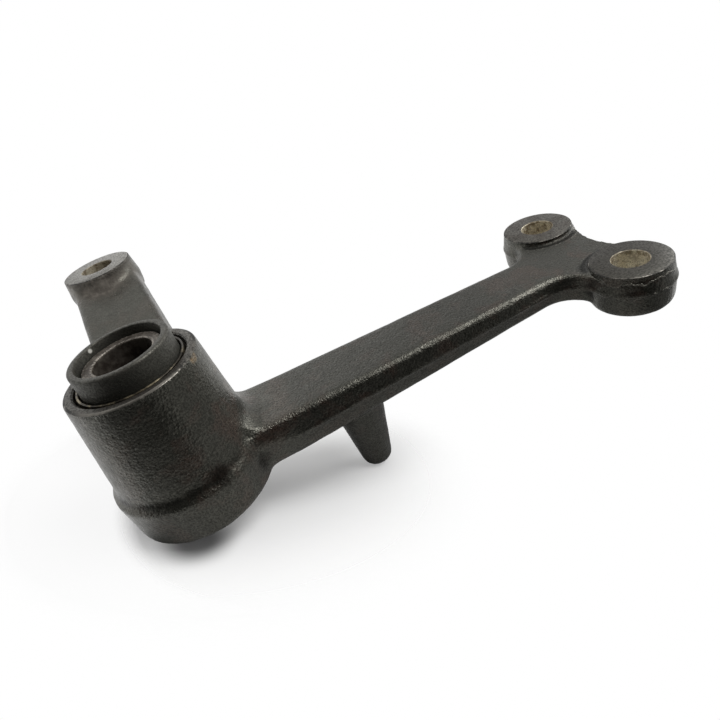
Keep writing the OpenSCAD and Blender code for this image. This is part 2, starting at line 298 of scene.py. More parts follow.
def facedSteel():
    look = dict(bare=(0.078, 0.072, 0.065), film=(0.040, 0.032, 0.027), pit=(0.010, 0.009, 0.008),
                brightened=(0.33, 0.32, 0.297), darkened=(0.018, 0.015, 0.013), patch=(7 * mm, 5, 0.65),
                filmEdge=(0.4, 0.65), grit=(0.9 * mm, 3, 0.6), reach=44 * mm, shineFilm=(0.0, 1.0, 1.0, 0.5),
                hubSpot=(3 * mm, -24.5 * mm, 53.5 * mm), hubReach=26 * mm, hubShade=0.75,
                pitted=(0.42, 0.66, 0.0, 0.8), rough=(0.3, 0.7, 0.36, 0.56), gloss=(0.36, 0.66, 0.85, 0.3),
                hubGloss=(0.0, 1.0, 1.0, 0.55), gritDepth=0.12 * mm)
    finish, tree, shader, place = newFinish("facedSteel")
    film = ramp(tree, grain(tree, place, *look["patch"]), *look["filmEdge"])
    grit = grain(tree, place, *look["grit"])
    color = blendColor(tree, film, look["bare"], look["film"])
    # painted sheen on the drag link boss's face
    brightened = nearSpot(tree, place, mounts["drag_link_hole"]["pos_m"], look["reach"])
    brightened = sums(tree, "MULTIPLY", brightened, ramp(tree, film, *look["shineFilm"]))
    color = blendColor(tree, brightened, color, look["brightened"])
    # darker round the near tie rod hole; painted shade with less gloss at the front of the hub face
    darkened = nearSpot(tree, place, mounts["tie_rod_hole_near"]["pos_m"], look["reach"])
    hubFrontShade = nearSpot(tree, place, look["hubSpot"], look["hubReach"])
    darkened = sums(tree, "MAXIMUM", darkened, sums(tree, "MULTIPLY", hubFrontShade, look["hubShade"]))
    color = blendColor(tree, darkened, color, look["darkened"])
    color = blendColor(tree, ramp(tree, grit, *look["pitted"]), color, look["pit"])
    tree.links.new(color, shader.inputs["Base Color"])
    tree.links.new(ramp(tree, grit, *look["rough"]), shader.inputs["Roughness"])
    gloss = ramp(tree, grit, *look["gloss"])
    gloss = sums(tree, "MULTIPLY", gloss, ramp(tree, hubFrontShade, *look["hubGloss"]))
    tree.links.new(gloss, shader.inputs["Specular IOR Level"])
    shader.inputs["Specular Tint"].default_value = sheen
    tree.links.new(relief(tree, grit, look["gritDepth"]), shader.inputs["Normal"])
    return finish


def bareEdge():
    look = dict(bright=(0.17, 0.158, 0.137), dark=(0.022, 0.021, 0.018), patch=(5 * mm, 4, 0.65),
                darkEdge=(0.38, 0.52), rubSpot=(-4 * mm, -25.5 * mm, 53.5 * mm), rubReach=26 * mm,
                rubbedDark=(0.0, 1.0, 1.0, 0.3), rough=(0.0, 1.0, 0.3, 0.55), metal=0.6)
    finish, tree, shader, place = newFinish("bareEdge")
    dark = ramp(tree, grain(tree, place, *look["patch"]), *look["darkEdge"])
    # worn brighter at the hub's front edge
    brightened = nearSpot(tree, place, look["rubSpot"], look["rubReach"])
    dark = sums(tree, "MULTIPLY", dark, ramp(tree, brightened, *look["rubbedDark"]))
    tree.links.new(blendColor(tree, dark, look["bright"], look["dark"]), shader.inputs["Base Color"])
    tree.links.new(ramp(tree, dark, *look["rough"]), shader.inputs["Roughness"])
    shader.inputs["Metallic"].default_value = look["metal"]
    return finish


def drilledWall():
    look = dict(gold=(0.80, 0.73, 0.56), rust=(0.27, 0.215, 0.14), grimeAndShade=(0.05, 0.038, 0.024),
                pale=(0.92, 0.88, 0.74), patch=(4.5 * mm, 5, 0.7), rustEdge=(0.42, 0.58),
                drawn=(1, 1, 3), grit=(0.7 * mm, 3, 0.6), paleReach=40 * mm, paleGrain=(6 * mm, 4, 0.7),
                paleEdge=(0.4, 0.56, 1.0, 0.2), paleDepth=(0.0, 7 * mm, 1.0, 0.15), holeShadeReach=60 * mm,
                holeShadeShare=0.45, grimy=(0.45, 0.68, 0.0, 0.7), rough=(0.0, 1.0, 0.38, 0.6), metal=0.25,
                gritDepth=0.12 * mm)
    finish, tree, shader, place = newFinish("drilledWall")
    rust = ramp(tree, grain(tree, place, *look["patch"]), *look["rustEdge"])
    grit = grain(tree, stretched(tree, place, look["drawn"]), *look["grit"])
    color = blendColor(tree, rust, look["gold"], look["rust"])
    # painted light on the near tie rod hole's wall, paler towards the bottom
    lit = nearSpot(tree, place, mounts["tie_rod_hole_near"]["pos_m"], look["paleReach"])
    pale = ramp(tree, grain(tree, place, *look["paleGrain"]), *look["paleEdge"])
    pale = sums(tree, "MULTIPLY", pale, ramp(tree, axes(tree, place)["Z"], *look["paleDepth"]))
    color = blendColor(tree, sums(tree, "MULTIPLY", lit, pale), color, look["pale"])
    # painted shade in the drag link hole
    shaded = nearSpot(tree, place, mounts["drag_link_hole"]["pos_m"], look["holeShadeReach"])
    color = blendColor(tree, sums(tree, "MULTIPLY", shaded, look["holeShadeShare"]), color, look["grimeAndShade"])
    color = blendColor(tree, ramp(tree, grit, *look["grimy"]), color, look["grimeAndShade"])
    tree.links.new(color, shader.inputs["Base Color"])
    tree.links.new(ramp(tree, rust, *look["rough"]), shader.inputs["Roughness"])
    shader.inputs["Metallic"].default_value = look["metal"]
    tree.links.new(relief(tree, grit, look["gritDepth"]), shader.inputs["Normal"])
    return finish


def mouldedRubber():
    look = dict(base=(0.0125, 0.0125, 0.0105), dusty=(0.034, 0.031, 0.027), glint=(0.60, 0.59, 0.54),
                glintSpot=(-11.3 * mm, 12.7 * mm, 60.9 * mm), glintReach=1.15 * mm, patch=(4 * mm, 5, 0.65),
                dustEdge=(0.3, 0.6), crown=(60.2 * mm, 61.6 * mm, 0.15, 1.0), grit=(0.8 * mm, 3, 0.6),
                rough=(0.3, 0.7, 0.42, 0.6), gloss=(0.36, 0.64, 1.0, 0.45), gritDepth=0.14 * mm)
    finish, tree, shader, place = newFinish("mouldedRubber")
    crown = ramp(tree, axes(tree, place)["Z"], *look["crown"])
    dust = ramp(tree, grain(tree, place, *look["patch"]), *look["dustEdge"])
    grit = grain(tree, place, *look["grit"])
    color = blendColor(tree, sums(tree, "MULTIPLY", dust, crown), look["base"], look["dusty"])
    # painted glint: one bright spot on the lip's crown
    glint = nearSpot(tree, place, look["glintSpot"], look["glintReach"])
    tree.links.new(blendColor(tree, glint, color, look["glint"]), shader.inputs["Base Color"])
    tree.links.new(ramp(tree, grit, *look["rough"]), shader.inputs["Roughness"])
    tree.links.new(ramp(tree, grit, *look["gloss"]), shader.inputs["Specular IOR Level"])
    shader.inputs["Specular Tint"].default_value = sheen
    tree.links.new(relief(tree, grit, look["gritDepth"]), shader.inputs["Normal"])
    return finish


def pressedSteel():
    look = dict(bright=(0.30, 0.255, 0.17), dull=(0.04, 0.034, 0.026), patch=(7 * mm, 4, 0.6),
                dullEdge=(0.38, 0.56), dimSpot=(20 * mm, 9 * mm, 53 * mm), dimReach=20 * mm,
                grit=(0.8 * mm, 3, 0.6), rough=(0.3, 0.7, 0.3, 0.5), metal=0.7, gritDepth=0.04 * mm)
    finish, tree, shader, place = newFinish("pressedSteel")
    dull = ramp(tree, grain(tree, place, *look["patch"]), *look["dullEdge"])
    # darker round a spot at the case's right and back
    dull = sums(tree, "MAXIMUM", dull, nearSpot(tree, place, look["dimSpot"], look["dimReach"]))
    grit = grain(tree, place, *look["grit"])
    tree.links.new(blendColor(tree, dull, look["bright"], look["dull"]), shader.inputs["Base Color"])
    tree.links.new(ramp(tree, grit, *look["rough"]), shader.inputs["Roughness"])
    shader.inputs["Metallic"].default_value = look["metal"]
    tree.links.new(relief(tree, grit, look["gritDepth"]), shader.inputs["Normal"])
    return finish


def darkBronze():
    look = dict(bright=(0.20, 0.177, 0.147), stain=(0.055, 0.043, 0.033), groove=(0.018, 0.014, 0.011),
                rim=(0.33, 0.30, 0.26), patch=(4 * mm, 5, 0.65), stainEdge=(0.36, 0.62),
                grit=(0.8 * mm, 3, 0.65), lines=0.45 * mm, grooved=(0.45, 0.62, 0.0, 0.75),
                rimWidth=(0.5 * mm, 1.0 * mm), rimDrop=(0.8 * mm, 0.4 * mm), rimGrit=(0.55, 0.4),
                boreDrop=(1.2 * mm, 0.4 * mm), boreShade=0.6, rough=(0.3, 0.7, 0.32, 0.55), metal=0.4,
                lineDepth=0.08 * mm, gritDepth=0.08 * mm)
    finish, tree, shader, place = newFinish("darkBronze")
    stain = ramp(tree, grain(tree, place, *look["patch"]), *look["stainEdge"])
    grit = grain(tree, place, *look["grit"])
    lines = axisLines(tree, place, look["lines"])
    color = blendColor(tree, stain, look["bright"], look["stain"])
    color = blendColor(tree, ramp(tree, lines, *look["grooved"]), color, look["groove"])
    radius, height = axisRadius(tree, place), axes(tree, place)["Z"]
    outer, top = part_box("upper_bush")[1].x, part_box("upper_bush")[1].z
    thin, wide = look["rimWidth"]
    # painted highlights along the bore's edge and the outer edge, near the top face
    innerRim = ramp(tree, radius, boreRadius + thin, boreRadius + wide, 1.0, 0.0)
    outerRim = ramp(tree, radius, outer - wide, outer - thin)
    rims = sums(tree, "MAXIMUM", innerRim, outerRim)
    rims = sums(tree, "MULTIPLY", rims, ramp(tree, height, *(top - drop for drop in look["rimDrop"])))
    rims = sums(tree, "MULTIPLY", rims, ramp(tree, grit, *look["rimGrit"]))
    color = blendColor(tree, rims, color, look["rim"])
    # painted shade below the top face, on the bore's wall and lower
    inside = ramp(tree, height, *(top - drop for drop in look["boreDrop"]), look["boreShade"], 0.0)
    tree.links.new(blendColor(tree, inside, color, look["groove"]), shader.inputs["Base Color"])
    tree.links.new(ramp(tree, grit, *look["rough"]), shader.inputs["Roughness"])
    shader.inputs["Metallic"].default_value = look["metal"]
    bumpy = relief(tree, grit, look["gritDepth"], relief(tree, lines, look["lineDepth"]))
    tree.links.new(bumpy, shader.inputs["Normal"])
    return finish


finishes = dict(scale=forgedScale(), faced=facedSteel(), edge=bareEdge(), drilled=drilledWall(),
                rubber=mouldedRubber(), pressed=pressedSteel(), bronze=darkBronze())
print("finishes:", ", ".join(finishes))


# lathe: a closed profile of (radius, height, corner rounding) turned about the pivot axis

def latheTree():
    tree = bpy.data.node_groups.new("lathe", "GeometryNodeTree")
    sockets = (("Profile", "INPUT", "NodeSocketGeometry"), ("Turn Radius", "INPUT", "NodeSocketFloat"),
               ("Turn Steps", "INPUT", "NodeSocketInt"), ("Corner Steps", "INPUT", "NodeSocketInt"),
               ("Finish", "INPUT", "NodeSocketMaterial"), ("Ring", "OUTPUT", "NodeSocketGeometry"))
    for name, side, kind in sockets:
        tree.interface.new_socket(name, in_out=side, socket_type=kind)
    make = tree.nodes.new
    given, result = make("NodeGroupInput"), make("NodeGroupOutput")
    outline, corner = make("GeometryNodeMeshToCurve"), make("GeometryNodeInputNamedAttribute")
    rounded, shift = make("GeometryNodeFilletCurve"), make("GeometryNodeTransform")
    inwards, turn = make("ShaderNodeCombineXYZ"), make("GeometryNodeCurvePrimitiveCircle")
    negative, swept = make("ShaderNodeMath"), make("GeometryNodeCurveToMesh")
    real, paint = make("GeometryNodeRealizeInstances"), make("GeometryNodeSetMaterial")
    corner.inputs["Name"].default_value = "cornerRound"
    rounded.mode = "POLY"
    rounded.inputs["Limit Radius"].default_value = True
    negative.operation = "MULTIPLY"
    negative.inputs[1].default_value = -1
    shift.inputs["Scale"].default_value = (1, -1, 1)  # the sweep turns the profile's height downwards
    join = tree.links.new
    join(given.outputs["Profile"], outline.inputs["Mesh"])
    join(outline.outputs["Curve"], rounded.inputs["Curve"])
    join(corner.outputs["Attribute"], rounded.inputs["Radius"])
    join(given.outputs["Corner Steps"], rounded.inputs["Count"])
    join(given.outputs["Turn Radius"], negative.inputs[0])
    join(negative.outputs["Value"], inwards.inputs["X"])
    join(inwards.outputs["Vector"], shift.inputs["Translation"])
    join(rounded.outputs["Curve"], shift.inputs["Geometry"])
    join(given.outputs["Turn Steps"], turn.inputs["Resolution"])
    join(given.outputs["Turn Radius"], turn.inputs["Radius"])
    join(turn.outputs["Curve"], swept.inputs["Curve"])
    join(shift.outputs["Geometry"], swept.inputs["Profile Curve"])
    join(swept.outputs["Mesh"], real.inputs["Geometry"])
    join(real.outputs["Geometry"], paint.inputs["Geometry"])
    join(given.outputs["Finish"], paint.inputs["Material"])
    join(paint.outputs["Geometry"], result.inputs["Ring"])
    return tree


lathe = latheTree()
lathing = dict(turnSteps=144, cornerSteps=5, mergeGap=0.001 * mm, sharpFrom=35)


def inputKeys(tree):  # identifiers of a tree's named inputs
    return {s.name: s.identifier for s in tree.interface.items_tree if s.in_out == "INPUT"}


def turned(name, profile, finish, centre=(0, 0)):
    mesh = bpy.data.meshes.new(name)
    count = len(profile)
    mesh.from_pydata([(r, z, 0) for r, z, _ in profile], [(i, (i + 1) % count) for i in range(count)], [])
    storeValue(mesh, "cornerRound", np.array([c for _, _, c in profile]))
    piece = addPiece(name, mesh)
    turning = piece.modifiers.new("lathe", "NODES")
    turning.node_group = lathe
    keys = inputKeys(lathe)
    sizes = {"Turn Radius": max(r for r, _, _ in profile), "Turn Steps": lathing["turnSteps"],
             "Corner Steps": lathing["cornerSteps"], "Finish": finish}
    for key, value in sizes.items():
        turning[keys[key]] = value
    settle(piece)
    tidyShell(piece.data, lathing["mergeGap"])
    piece.data.transform(Matrix.Translation((*centre, 0)))
    smoothExcept(piece.data, lathing["sharpFrom"])
    return piece


# forged arm: the raw forging first, then its faces, holes and seats are machined

forging = dict(voxel=0.88 * mm, mergeGap=0.002 * mm, drumSteps=96, allowance=1.3 * mm, sharpFrom=38,
               hubFace=26.3 * mm, bossFace=17.9 * mm, bossFoot=14.6 * mm, faceSearch=1.3,
               hollowPasses=26, hollowRate=0.5, crisp=(175 * mm, 190 * mm), crispRate=0.25, crestRate=0.03,
               climb=(4 * mm, 16 * mm, 34 * mm, 46 * mm), climbTop=9 * mm, climbRate=0.4,
               skin={"Swell": 0.22 * mm, "Swell Size": 17 * mm, "Dimple": 0.10 * mm, "Dimple Size": 4.5 * mm,
                     "Flash": 0.75 * mm, "Flash Width": 0.8 * mm, "Flash Size": 9 * mm,
                     "Flash From": 44 * mm},
               swellGrain=(2, 1.7), dimpleGrain=(3, 5.2), flashGrain=(3, 9.4),  # detail and seed
               flashShare=0.4, flashGain=100.0,  # the gain brings the flash in over 10 mm
               edgeBreak=0.4 * mm, edgeSlope=0.6, facingReach=4 * mm, facingDepth=8 * mm, flatFrom=0.95,
               holeBreak=0.3 * mm, seatBreak=0.6 * mm, drillClear=2 * mm,
               chip=(22.4 * mm, -17.0 * mm, 53.3 * mm), chipSize=1.5 * mm, chipSteps=2)
linkHoles = [mounts[name] for name in ("tie_rod_hole_near", "tie_rod_hole_far", "drag_link_hole")]


def facesNear(centre, reach):  # lowest and highest CAD point around a hole's axis
    points = meshPoints(frame["nodes"]["arm_forging"].data)
    near = points[np.hypot(points[:, 0] - centre[0], points[:, 1] - centre[1]) < reach]
    return near[:, 2].min(), near[:, 2].max()


def bossFaces(hole):
    return facesNear(hole["pos_m"], forging["faceSearch"] * hole["dims"]["r_mm"] * mm)


def addDrum(work, centre, radius, low, high):
    place = Matrix.Translation((centre[0], centre[1], (low + high) / 2))
    bmesh.ops.create_cone(work, cap_ends=True, segments=forging["drumSteps"], radius1=radius,
                          radius2=radius, depth=high - low, matrix=place)


def rawForging():
    mesh = frame["nodes"]["arm_forging"].data.copy()
    mesh.materials.clear()
    piece = addPiece("forged_arm", mesh)
    work = bmesh.new()
    work.from_mesh(mesh)
    bmesh.ops.remove_doubles(work, verts=work.verts, dist=forging["mergeGap"])
    extra = forging["allowance"]
    for hole in linkHoles:
        low, high = bossFaces(hole)
        addDrum(work, hole["pos_m"], forging["bossFace"], (low + high) / 2, high + extra)
        addDrum(work, hole["pos_m"], forging["bossFoot"], low, (low + high) / 2)
    low, high = facesNear((0, 0), forging["hubFace"])
    addDrum(work, (0, 0), forging["hubFace"], low, high + extra)
    work.to_mesh(mesh)
    work.free()
    remesh = piece.modifiers.new("skin", "REMESH")
    remesh.mode = "VOXEL"
    remesh.voxel_size = forging["voxel"]
    return settle(piece)


def neighbours(mesh):
    ends = np.empty(len(mesh.edges) * 2, np.int32)
    mesh.edges.foreach_get("vertices", ends)
    first, second = ends.reshape(-1, 2).T
    count = len(mesh.vertices)
    degree = np.bincount(np.r_[first, second], minlength=count)[:, None]

    def average(points):
        total = [np.bincount(first, points[second, k], count) + np.bincount(second, points[first, k], count)
                 for k in range(points.shape[1])]
        return np.stack(total, 1) / degree
    return average


def pointNormals(mesh):
    flat = np.empty(len(mesh.vertices) * 3, np.float32)
    mesh.vertex_normals.foreach_get("vector", flat)
    return flat.reshape(-1, 3).astype(float)


def fillHollows(mesh):  # inner corners fill to forging radii, crests keep their shape
    average = neighbours(mesh)
    points = meshPoints(mesh)
    along, across, height = points.T
    hollowRate = forging["hollowRate"] * np.interp(along, forging["crisp"], [1.0, forging["crispRate"]])
    climb = np.interp(along, forging["climb"], [0, 1, 1, 0]) * (across < 0) * (height < forging["climbTop"])
    crestRate = forging["crestRate"] + forging["climbRate"] * climb  # softer where the ridge climbs the drum
    for _ in range(forging["hollowPasses"]):
        pull = average(points) - points
        rise = (pull * pointNormals(mesh)).sum(1)
        rate = np.where(rise > 0, hollowRate, crestRate)
        points = points + pull * rate[:, None]
        setPoints(mesh, points)


def forgeSkinTree():
    tree = bpy.data.node_groups.new("forgeSkin", "GeometryNodeTree")
    tree.interface.new_socket("Body", in_out="INPUT", socket_type="NodeSocketGeometry")
    for name in forging["skin"]:
        tree.interface.new_socket(name, in_out="INPUT", socket_type="NodeSocketFloat")
    tree.interface.new_socket("Finish", in_out="INPUT", socket_type="NodeSocketMaterial")
    tree.interface.new_socket("Body", in_out="OUTPUT", socket_type="NodeSocketGeometry")
    make, join = tree.nodes.new, tree.links.new
    given, result = make("NodeGroupInput").outputs, make("NodeGroupOutput").inputs

    def figure(how, first, second=0.0):
        return sums(tree, how, first, second)

    def wander(size, detail, seed):  # noise about zero, at a given size
        texture = make("ShaderNodeTexNoise")
        texture.noise_dimensions = "4D"
        texture.inputs["W"].default_value = seed
        texture.inputs["Detail"].default_value = detail
        join(figure("DIVIDE", 1.0, size), texture.inputs["Scale"])
        return figure("MULTIPLY", figure("SUBTRACT", texture.outputs["Fac"], 0.5), 2.0)

    normal = make("GeometryNodeInputNormal").outputs["Normal"]
    heading = axes(tree, normal)
    spot = axes(tree, make("GeometryNodeInputPosition").outputs["Position"])
    swell = figure("MULTIPLY", wander(given["Swell Size"], *forging["swellGrain"]), given["Swell"])
    dimple = figure("MULTIPLY", wander(given["Dimple Size"], *forging["dimpleGrain"]), given["Dimple"])
    ratio = figure("DIVIDE", spot["Z"], given["Flash Width"])
    ridge = figure("EXPONENT", figure("MULTIPLY", figure("MULTIPLY", ratio, ratio), -1.0))
    steep = figure("SUBTRACT", 1.0, figure("ABSOLUTE", heading["Z"]))
    burr = figure("ADD", wander(given["Flash Size"], *forging["flashGrain"]), forging["flashShare"])
    out = figure("MULTIPLY", figure("SUBTRACT", spot["X"], given["Flash From"]), forging["flashGain"])
    out = figure("MINIMUM", figure("MAXIMUM", out, 0.0), 1.0)  # none on the drum
    burr = figure("MULTIPLY", figure("MAXIMUM", burr, 0.0), out)
    flash = figure("MULTIPLY", figure("MULTIPLY", ridge, steep), figure("MULTIPLY", burr, given["Flash"]))
    rise = figure("ADD", figure("ADD", swell, dimple), flash)
    push, move = make("ShaderNodeVectorMath"), make("GeometryNodeSetPosition")
    push.operation = "SCALE"
    join(normal, push.inputs[0])
    join(rise, push.inputs["Scale"])
    join(given["Body"], move.inputs["Geometry"])
    join(push.outputs["Vector"], move.inputs["Offset"])
    real, paint = make("GeometryNodeRealizeInstances"), make("GeometryNodeSetMaterial")
    join(move.outputs["Geometry"], real.inputs["Geometry"])
    join(real.outputs["Geometry"], paint.inputs["Geometry"])
    join(given["Finish"], paint.inputs["Material"])
    join(paint.outputs["Geometry"], result["Body"])
    return tree


def roughen(piece):
    skin = piece.modifiers.new("forgeSkin", "NODES")
    skin.node_group = forgeSkinTree()
    keys = inputKeys(skin.node_group)
    for name, size in forging["skin"].items():
        skin[keys[name]] = size
    skin[keys["Finish"]] = finishes["scale"]
    settle(piece)


def cut(piece, tools):  # every tool in one pass, cut faces keep the tool's finish
    group = bpy.data.collections.new("tools")
    scene.collection.children.link(group)
    for tool in tools:
        scene.collection.objects.unlink(tool)
        group.objects.link(tool)
    step = piece.modifiers.new("machining", "BOOLEAN")
    step.operation = "DIFFERENCE"
    step.operand_type = "COLLECTION"
    step.collection = group
    step.solver = "MANIFOLD"
    step.material_mode = "TRANSFER"
    settle(piece)
    for tool in tools:
        bpy.data.objects.remove(tool)
    bpy.data.collections.remove(group)


def facingTool(name, centre, face, plane):  # flat cut with a broken outer edge
    reach, ease, top = face + forging["facingReach"], forging["edgeBreak"], plane + forging["facingDepth"]
    flank = plane - (reach - face + ease) * forging["edgeSlope"]
    profile = [(0, plane, 0), (face - ease, plane, 0), (reach, flank, 0), (reach, top, 0), (0, top, 0)]
    tool = turned(name, profile, finishes["faced"], centre)
    tool.data.materials.append(finishes["edge"])
    for side in tool.data.polygons:
        side.material_index = int(abs(side.normal.z) < forging["flatFrom"])
    return tool


def chipTool():
    work, mesh = bmesh.new(), bpy.data.meshes.new("chip")
    place = Matrix.Translation(forging["chip"])
    bmesh.ops.create_icosphere(work, subdivisions=forging["chipSteps"], radius=forging["chipSize"],
                               matrix=place)
    work.to_mesh(mesh)
    work.free()
    mesh.materials.append(finishes["edge"])
    return addPiece("chip", mesh)


def holeTool(name, centre, radius, low, high):
    ease, clear = forging["holeBreak"], forging["drillClear"]
    mouth = radius + ease + clear
    profile = [(0, low - clear, 0), (mouth, low - clear, 0), (radius, low + ease, 0),
               (radius, high - ease, 0), (mouth, high + clear, 0), (0, high + clear, 0)]
    return turned(name, profile, finishes["drilled"], centre)


def boreTool(low, high):
    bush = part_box("upper_bush")[1].x
    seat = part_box("upper_seal_case")[1].x
    upperFloor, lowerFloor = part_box("upper_seal_case")[0].z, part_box("lower_seal_case")[1].z
    ease, clear = forging["seatBreak"], forging["drillClear"]
    mouth = seat + ease + clear
    profile = [(0, low - clear, 0), (mouth, low - clear, 0), (seat, low + ease, 0), (seat, lowerFloor, 0),
               (bush, lowerFloor, 0), (bush, upperFloor, 0), (seat, upperFloor, 0), (seat, high - ease, 0),
               (mouth, high + clear, 0), (0, high + clear, 0)]
    return turned("boreTool", profile, finishes["faced"])


def machine(piece):
    facing, drilling = [], []
    for hole in linkHoles:
        centre, radius = hole["pos_m"][:2], hole["dims"]["r_mm"] * mm
        low, high = bossFaces(hole)
        facing.append(facingTool("bossFacing", centre, forging["bossFace"], high))
        drilling.append(holeTool("drill", centre, radius, low, high))
    low, high = facesNear((0, 0), forging["hubFace"])
    facing.append(facingTool("hubFacing", (0, 0), forging["hubFace"], high))
    drilling += [boreTool(low, high), chipTool()]
    cut(piece, facing)
    cut(piece, drilling)


# wear, painted shade and painted light on the forging: pairs of rows are places and the values there

wearLightAndShade = dict(softPasses=14, edge=(0.2 * mm, 0.7 * mm), hollow=(0.02 * mm, 0.22 * mm),
            shoulder=((12 * mm, 24 * mm), (17 * mm, 10 * mm)), shoulderFade=(0.0, 4 * mm),
            armShade=((38 * mm, 54 * mm, 150 * mm, 185 * mm), (0.0, 0.36, 0.36, 0.0)),
            bandEnd=(11.3 * mm, -29.0 * mm, 8.5 * mm), bandShade=((2 * mm, 7 * mm), (1.0, 0.0)),
            fork=((192 * mm, 204 * mm), (0.0, 1.0)), steep=((0.4, 0.7), (1.0, 0.0)),
            front=((0.0, 8 * mm), (0.0, 1.0)), wall=((-0.3, -0.1, 0.75, 0.93), (0.0, 0.85, 0.85, 0.0)),
            ledge=((2.8 * mm, 3.7 * mm, 5.0 * mm, 6.4 * mm), (0.0, 1.0, 1.0, 0.0)),
            ledgeReach=((22 * mm, 27 * mm), (1.0, 0.0)), lee=((0.0, 10 * mm), (1.0, 0.45)),
            rim=((0.3 * mm, 0.7 * mm, 1.3 * mm, 2.6 * mm), (0.0, 0.8, 0.8, 0.0)), rimReach=22 * mm,
            fineSkin=((38 * mm, 60 * mm), (1.0, 0.45)))


def share(values, start, over):  # 0 up to the start, 1 from start + over
    return np.clip((values - start) / over, 0, 1)


def markWearLightAndShade(mesh):  # values on the points that the forged finish reads, painted shade and light among them
    average = neighbours(mesh)
    points, normals = meshPoints(mesh), pointNormals(mesh)
    along, across, height = points.T
    soft = points
    for _ in range(wearLightAndShade["softPasses"]):
        soft = average(soft)
    stand = ((points - soft) * normals).sum(1)  # how far a point stands above the surface around it
    # crests: edge wear, also painted glints in the forged finish
    storeValue(mesh, "edgeWearAndGlint", share(stand, *wearLightAndShade["edge"]))
    low = share(np.interp(along, *wearLightAndShade["shoulder"]) - height, *wearLightAndShade["shoulderFade"])
    shoulder = low * share(-stand, *wearLightAndShade["hollow"])
    bandGap = np.linalg.norm(points - np.array(wearLightAndShade["bandEnd"]), axis=1)
    shoulder = np.maximum(shoulder, np.interp(bandGap, *wearLightAndShade["bandShade"]))
    paintedShade = np.maximum(shoulder, np.interp(along, *wearLightAndShade["armShade"]))  # painted shade in the shoulder, less on the arm
    fork = np.interp(along, *wearLightAndShade["fork"])
    storeValue(mesh, "forkSide", fork * np.interp(abs(normals[:, 2]), *wearLightAndShade["steep"]))
    # painted light on the front wall and ledge of the drag link boss
    boss = mounts["drag_link_hole"]["pos_m"]
    away = np.hypot(along - boss[0], across - boss[1])
    front = np.interp(boss[1] - across, *wearLightAndShade["front"])
    under = facesNear(boss, forging["bossFoot"])[1] - height
    ledge = np.maximum(np.interp(normals[:, 2], *wearLightAndShade["wall"]), np.interp(under, *wearLightAndShade["ledge"]))
    ledge = ledge * np.interp(away, *wearLightAndShade["ledgeReach"])
    lee = np.interp(along - boss[0], *wearLightAndShade["lee"])  # less painted light on the lamp's side
    storeValue(mesh, "ledgeLight", front * ledge * lee)
    rim = np.interp(under, *wearLightAndShade["rim"]) * front * (away < wearLightAndShade["rimReach"])
    storeValue(mesh, "paintedShade", np.maximum(paintedShade, rim))  # also painted shade under the drag link boss's rim
    storeValue(mesh, "skinGrain", np.interp(across, *wearLightAndShade["fineSkin"]))  # finer skin on the short arm


def forgedArm():
    piece = rawForging()
    print("raw forging:", len(piece.data.polygons), "faces")
    fillHollows(piece.data)
    roughen(piece)
    machine(piece)
    points = meshPoints(piece.data)
    setPoints(piece.data, np.clip(points, np.array(cadLow), np.array(cadHigh)))
    markWearLightAndShade(piece.data)
    smoothExcept(piece.data, forging["sharpFrom"])
    print("forged arm:", sum(len(p.vertices) - 2 for p in piece.data.polygons), "triangles")
    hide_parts("arm_forging")
    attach(piece, "root")


forgedArm()


# bushes and seals

ring = dict(bushRound=0.5 * mm, caseRound=0.3 * mm, rootRound=0.4 * mm, lipRound=1.2 * mm, lipFlare=0.5 * mm,
            lipFlareDepth=4 * mm, lipBand=1.0 * mm, onFace=0.01 * mm, onWall=0.05 * mm)


def finishRing(piece, node):
    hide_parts(node)
    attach(piece, "root")


def bushRing(node):
    low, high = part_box(node)
    edge = ring["bushRound"]
    profile = [(boreRadius, low.z, edge), (high.x, low.z, edge / 2),
               (high.x, high.z, edge / 2), (boreRadius, high.z, edge)]
    finishRing(turned(node + "_turned", profile, finishes["bronze"]), node)


def caseRing(node, up):
    low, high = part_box(node)
    foot, top = (low.z, high.z) if up > 0 else (high.z, low.z)
    reach, height = ringPoints(node)
    rim = reach[abs(height - top) < ring["onFace"]]
    inner, outer = rim.min(), rim.max()
    band = max(abs(height[reach > high.x - ring["onWall"]] - foot)) * up + foot
    inside, edge = foot + up * (outer - inner), ring["caseRound"]
    profile = [(reach.min(), foot, 0), (high.x, foot, edge), (high.x, band, edge), (outer, band, edge),
               (outer, top, edge), (inner, top, edge), (inner, inside, edge), (reach.min(), inside, 0)]
    finishRing(turned(node + "_pressed", profile, finishes["pressed"]), node)


def lipRing(node, up):
    low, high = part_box(node)
    foot, crown = (low.z, high.z) if up > 0 else (high.z, low.z)
    reach, height = ringPoints(node)
    rise, wall, band = abs(height - foot), high.x - ring["onWall"], ring["lipBand"]
    inner, ledge = reach.min(), rise[reach > wall].max()
    outer = reach[(abs(rise - ledge) < ring["onFace"]) & (reach < wall)].max()
    crest = reach[(rise > ledge + band) & (rise < abs(crown - foot) - band)].max()
    flare = min(ring["lipFlareDepth"], abs(crown - foot) / 3)  # a third of the lip at most
    profile = [(inner, foot, 0), (high.x, foot, 0), (high.x, foot + up * ledge, ring["rootRound"]),
               (outer, foot + up * ledge, ring["rootRound"]), (crest, crown, ring["lipRound"]),
               (inner + ring["lipFlare"], crown, ring["lipRound"] / 2), (inner, crown - up * flare, 0)]
    finishRing(turned(node + "_moulded", profile, finishes["rubber"]), node)


for side, up in (("upper", 1), ("lower", -1)):
    bushRing(side + "_bush")
    caseRing(side + "_seal_case", up)
    lipRing(side + "_seal_lip", up)
print("bushes and seals: 6 rings")


# stage: floor through the drum's rim and the peg's tip, soft light, camera

